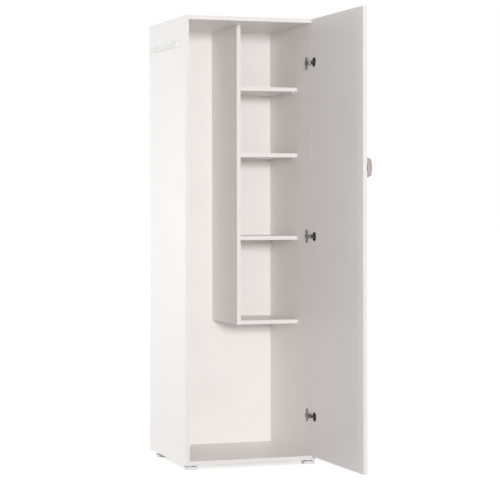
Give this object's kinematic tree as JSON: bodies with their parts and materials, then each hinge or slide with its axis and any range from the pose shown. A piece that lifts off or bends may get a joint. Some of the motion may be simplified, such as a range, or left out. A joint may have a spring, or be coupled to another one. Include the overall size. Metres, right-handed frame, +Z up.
{
  "type": "broom cupboard",
  "caption": "Tall white broom cupboard with one hinged door, a broom bay, a box of shelves, a bucket bay and a broom rail outside.",
  "frame": {"origin": "on the floor at the middle of the width, level with the line of the hinge pins; with the door a quarter open this is the bottom centre of the whole, within 7 mm", "axes": "+X to the right along the width, -Y out of the front of the carcass, +Z up; the door stands open a quarter turn"},
  "size_m": [0.6232, 1.0655, 1.806],
  "materials": {
    "white_melamine": "white melamine-faced chipboard, satin with a fine pearl texture",
    "white_hardboard": "white painted hardboard, smooth side inwards",
    "edge_band": "white ABS edge band",
    "zinc_screw": "zinc-plated steel",
    "beech": "fluted beech dowel",
    "cam_zinc": "die-cast zinc and zinc-plated steel",
    "white_screw": "steel with a white lacquered head",
    "pin_plastic": "white moulded polyamide",
    "hinge_nickel": "dull nickel-plated pressed steel",
    "handle_metal": "matt nickel-plated die-cast zinc",
    "foot_plastic": "moulded white polypropylene",
    "bumper": "milky polyurethane dot",
    "rail_white": "white powder-coated aluminium rail and steel hooks"
  },
  "bodies": {
    "root": {"left_side": "white_melamine", "right_side": "white_melamine", "top_panel": "white_melamine", "bottom_panel": "white_melamine", "partition": "white_melamine", "box_bottom": "white_melamine", "shelf_lower": "white_melamine", "shelf_middle": "white_melamine", "shelf_upper": "white_melamine", "back_panel": "white_hardboard", "carcass_edge_bands": "edge_band", "box_edge_bands": "edge_band", "shelf_edge_bands": "edge_band", "carcass_screws": "zinc_screw", "back_panel_nails": "zinc_screw", "foot_screws": "zinc_screw", "hinge_plate_screws": "zinc_screw", "hinge_adjusting_screws": "zinc_screw", "rail_screws": "white_screw", "hook_screws": "white_screw", "dowels": "beech", "cam_locks": "cam_zinc", "cam_bolts": "cam_zinc", "shelf_pins": "pin_plastic", "upper_hinge_plate": "hinge_nickel", "upper_hinge_arm": "hinge_nickel", "middle_hinge_plate": "hinge_nickel", "middle_hinge_arm": "hinge_nickel", "lower_hinge_plate": "hinge_nickel", "lower_hinge_arm": "hinge_nickel", "foot_front_left": "foot_plastic", "foot_front_right": "foot_plastic", "foot_back_left": "foot_plastic", "foot_back_right": "foot_plastic", "broom_rail": "rail_white", "broom_hook_front": "rail_white", "broom_hook_rear": "rail_white"},
    "door": {"door": "white_melamine", "door_edge_bands": "edge_band", "door_bumpers": "bumper", "handle": "handle_metal", "handle_screws": "white_screw", "hinge_springs": "hinge_nickel", "upper_hinge_cup": "hinge_nickel", "upper_hinge_pin": "hinge_nickel", "middle_hinge_cup": "hinge_nickel", "middle_hinge_pin": "hinge_nickel", "lower_hinge_cup": "hinge_nickel", "lower_hinge_pin": "hinge_nickel"}
  },
  "joints": [
    {"name": "door_swing", "type": "hinge", "parent": "root", "child": "door", "pos_m": [0.266, 0, 0.912], "axis": [0, 0, 1], "range_deg": [-90, 15]}
  ]
}
